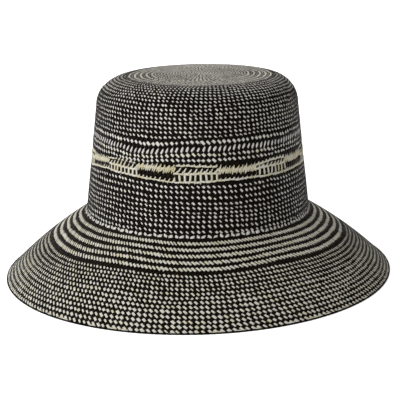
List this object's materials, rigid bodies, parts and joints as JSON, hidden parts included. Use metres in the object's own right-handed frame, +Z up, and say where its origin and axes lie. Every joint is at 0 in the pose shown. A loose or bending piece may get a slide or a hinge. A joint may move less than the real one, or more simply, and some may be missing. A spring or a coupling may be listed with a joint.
{
  "type": "straw bucket hat",
  "caption": "Hand-woven straw bucket hat in natural and black straw, with a flat-topped oval crown and a downward flaring brim.",
  "frame": {"origin": "centre of the plane that the brim's lower edge rests on", "axes": "+Z up out of the crown's tip, -Y towards the front of the hat, +X to the viewer's right"},
  "size_m": [0.2948, 0.3366, 0.1505],
  "materials": {
    "woven_straw": "natural and black straw woven together, matt",
    "natural_straw": "undyed straw, satin sheen along the fibre",
    "black_straw": "straw dyed black, faint satin sheen"
  },
  "bodies": {
    "root": {"crown": "woven_straw", "brim": "woven_straw"}
  },
  "joints": []
}
